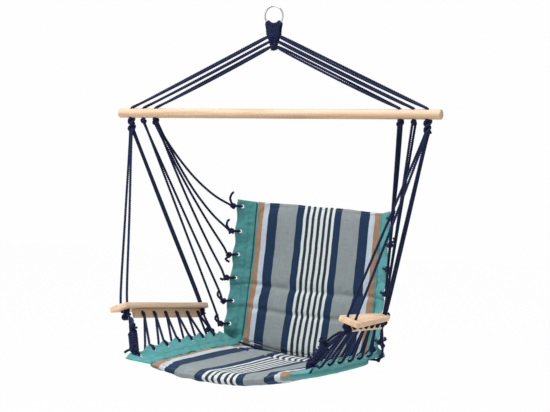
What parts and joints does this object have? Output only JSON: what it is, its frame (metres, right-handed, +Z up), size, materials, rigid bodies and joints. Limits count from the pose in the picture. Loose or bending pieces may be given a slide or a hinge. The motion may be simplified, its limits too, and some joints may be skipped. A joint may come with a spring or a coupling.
{
  "type": "hammock chair",
  "caption": "Hanging hammock chair with a ring, rope neck, wooden spreader bar, roped armrests and a striped padded seat and back.",
  "frame": {"origin": "the point inside the top of the ring where a hook bears, on the chair's middle plane", "axes": "+Z is up, +Y is towards the chair's back, so the sitter faces -Y, and +X is towards the sitter's left as they sit, the right-hand side of the picture"},
  "size_m": [1, 0.6722, 1.0339],
  "materials": {
    "steel": "bright plated steel",
    "rope": "laid three-strand cotton rope, dark navy",
    "wood": "pale softwood, sanded, unvarnished",
    "cushion_cloth": "striped woven cotton over thin wadding",
    "band_cloth": "plain woven cotton, hemmed"
  },
  "bodies": {
    "top": {"ring": "steel", "neck": "rope"},
    "hanger": {"spreader_bar": "wood", "upper_ropes_left_1": "rope", "upper_ropes_left_2": "rope", "upper_ropes_left_3": "rope", "upper_ropes_right_1": "rope", "upper_ropes_right_2": "rope", "upper_ropes_right_3": "rope"},
    "chair": {"seat_pad": "cushion_cloth", "seat_band_left": "band_cloth", "seat_band_right": "band_cloth", "crease_strip": "cushion_cloth", "crease_cord": "rope", "corner_tie_left": "rope", "corner_tie_right": "rope", "rear_tie_left": "rope", "rear_tie_right": "rope", "seat_lacing_left": "rope", "seat_lacing_right": "rope"},
    "back": {"back_pad": "cushion_cloth", "back_band_left": "band_cloth", "back_band_right": "band_cloth", "back_eyelet_left_1": "steel", "back_eyelet_left_2": "steel", "back_eyelet_left_3": "steel", "back_eyelet_left_4": "steel", "back_eyelet_left_5": "steel", "back_eyelet_left_6": "steel", "back_eyelet_right_1": "steel", "back_eyelet_right_2": "steel", "back_eyelet_right_3": "steel", "back_eyelet_right_4": "steel", "back_eyelet_right_5": "steel", "back_eyelet_right_6": "steel", "back_rope_left_1": "rope", "back_rope_left_2": "rope", "back_rope_left_3": "rope", "back_rope_left_4": "rope", "back_rope_left_5": "rope", "back_rope_left_6": "rope", "back_rope_right_1": "rope", "back_rope_right_2": "rope", "back_rope_right_3": "rope", "back_rope_right_4": "rope", "back_rope_right_5": "rope", "back_rope_right_6": "rope"},
    "arm_left": {"arm_board_left": "wood", "arm_rail_left": "wood", "arm_knot_left": "rope", "arm_front_ropes_left": "rope", "arm_rear_ropes_left": "rope"},
    "arm_right": {"arm_board_right": "wood", "arm_rail_right": "wood", "arm_knot_right": "rope", "arm_front_ropes_right": "rope", "arm_rear_ropes_right": "rope"}
  },
  "joints": [
    {"name": "hanger_swing", "type": "hinge", "parent": "top", "child": "hanger", "pos_m": [0, 0, -0.092], "axis": [1, 0, 0], "range_deg": [-20, 20], "deforming": ["upper_ropes_left_1", "upper_ropes_left_2", "upper_ropes_left_3", "upper_ropes_right_1", "upper_ropes_right_2", "upper_ropes_right_3"]},
    {"name": "seat_swing", "type": "hinge", "parent": "hanger", "child": "chair", "pos_m": [0, 0, -0.3213], "axis": [1, 0, 0], "range_deg": [-20, 20]},
    {"name": "back_fold", "type": "hinge", "parent": "chair", "child": "back", "pos_m": [0, 0.197, -1], "axis": [0.9985, 0, -0.0538], "range_deg": [0, 45], "deforming": ["crease_strip", "back_band_left", "back_band_right", "back_rope_left_1", "back_rope_left_2", "back_rope_left_3", "back_rope_left_4", "back_rope_left_5", "back_rope_left_6", "back_rope_right_1", "back_rope_right_2", "back_rope_right_3", "back_rope_right_4", "back_rope_right_5", "back_rope_right_6"]},
    {"name": "left_arm_sway", "type": "hinge", "parent": "chair", "child": "arm_left", "pos_m": [-0.46, 0, -0.3213], "axis": [0, -1, 0], "range_deg": [0, 4], "deforming": ["corner_tie_left", "rear_tie_left", "seat_lacing_left"]},
    {"name": "right_arm_sway", "type": "hinge", "parent": "chair", "child": "arm_right", "pos_m": [0.46, 0, -0.3213], "axis": [0, 1, 0], "range_deg": [0, 4], "deforming": ["corner_tie_right", "rear_tie_right", "seat_lacing_right"]}
  ]
}
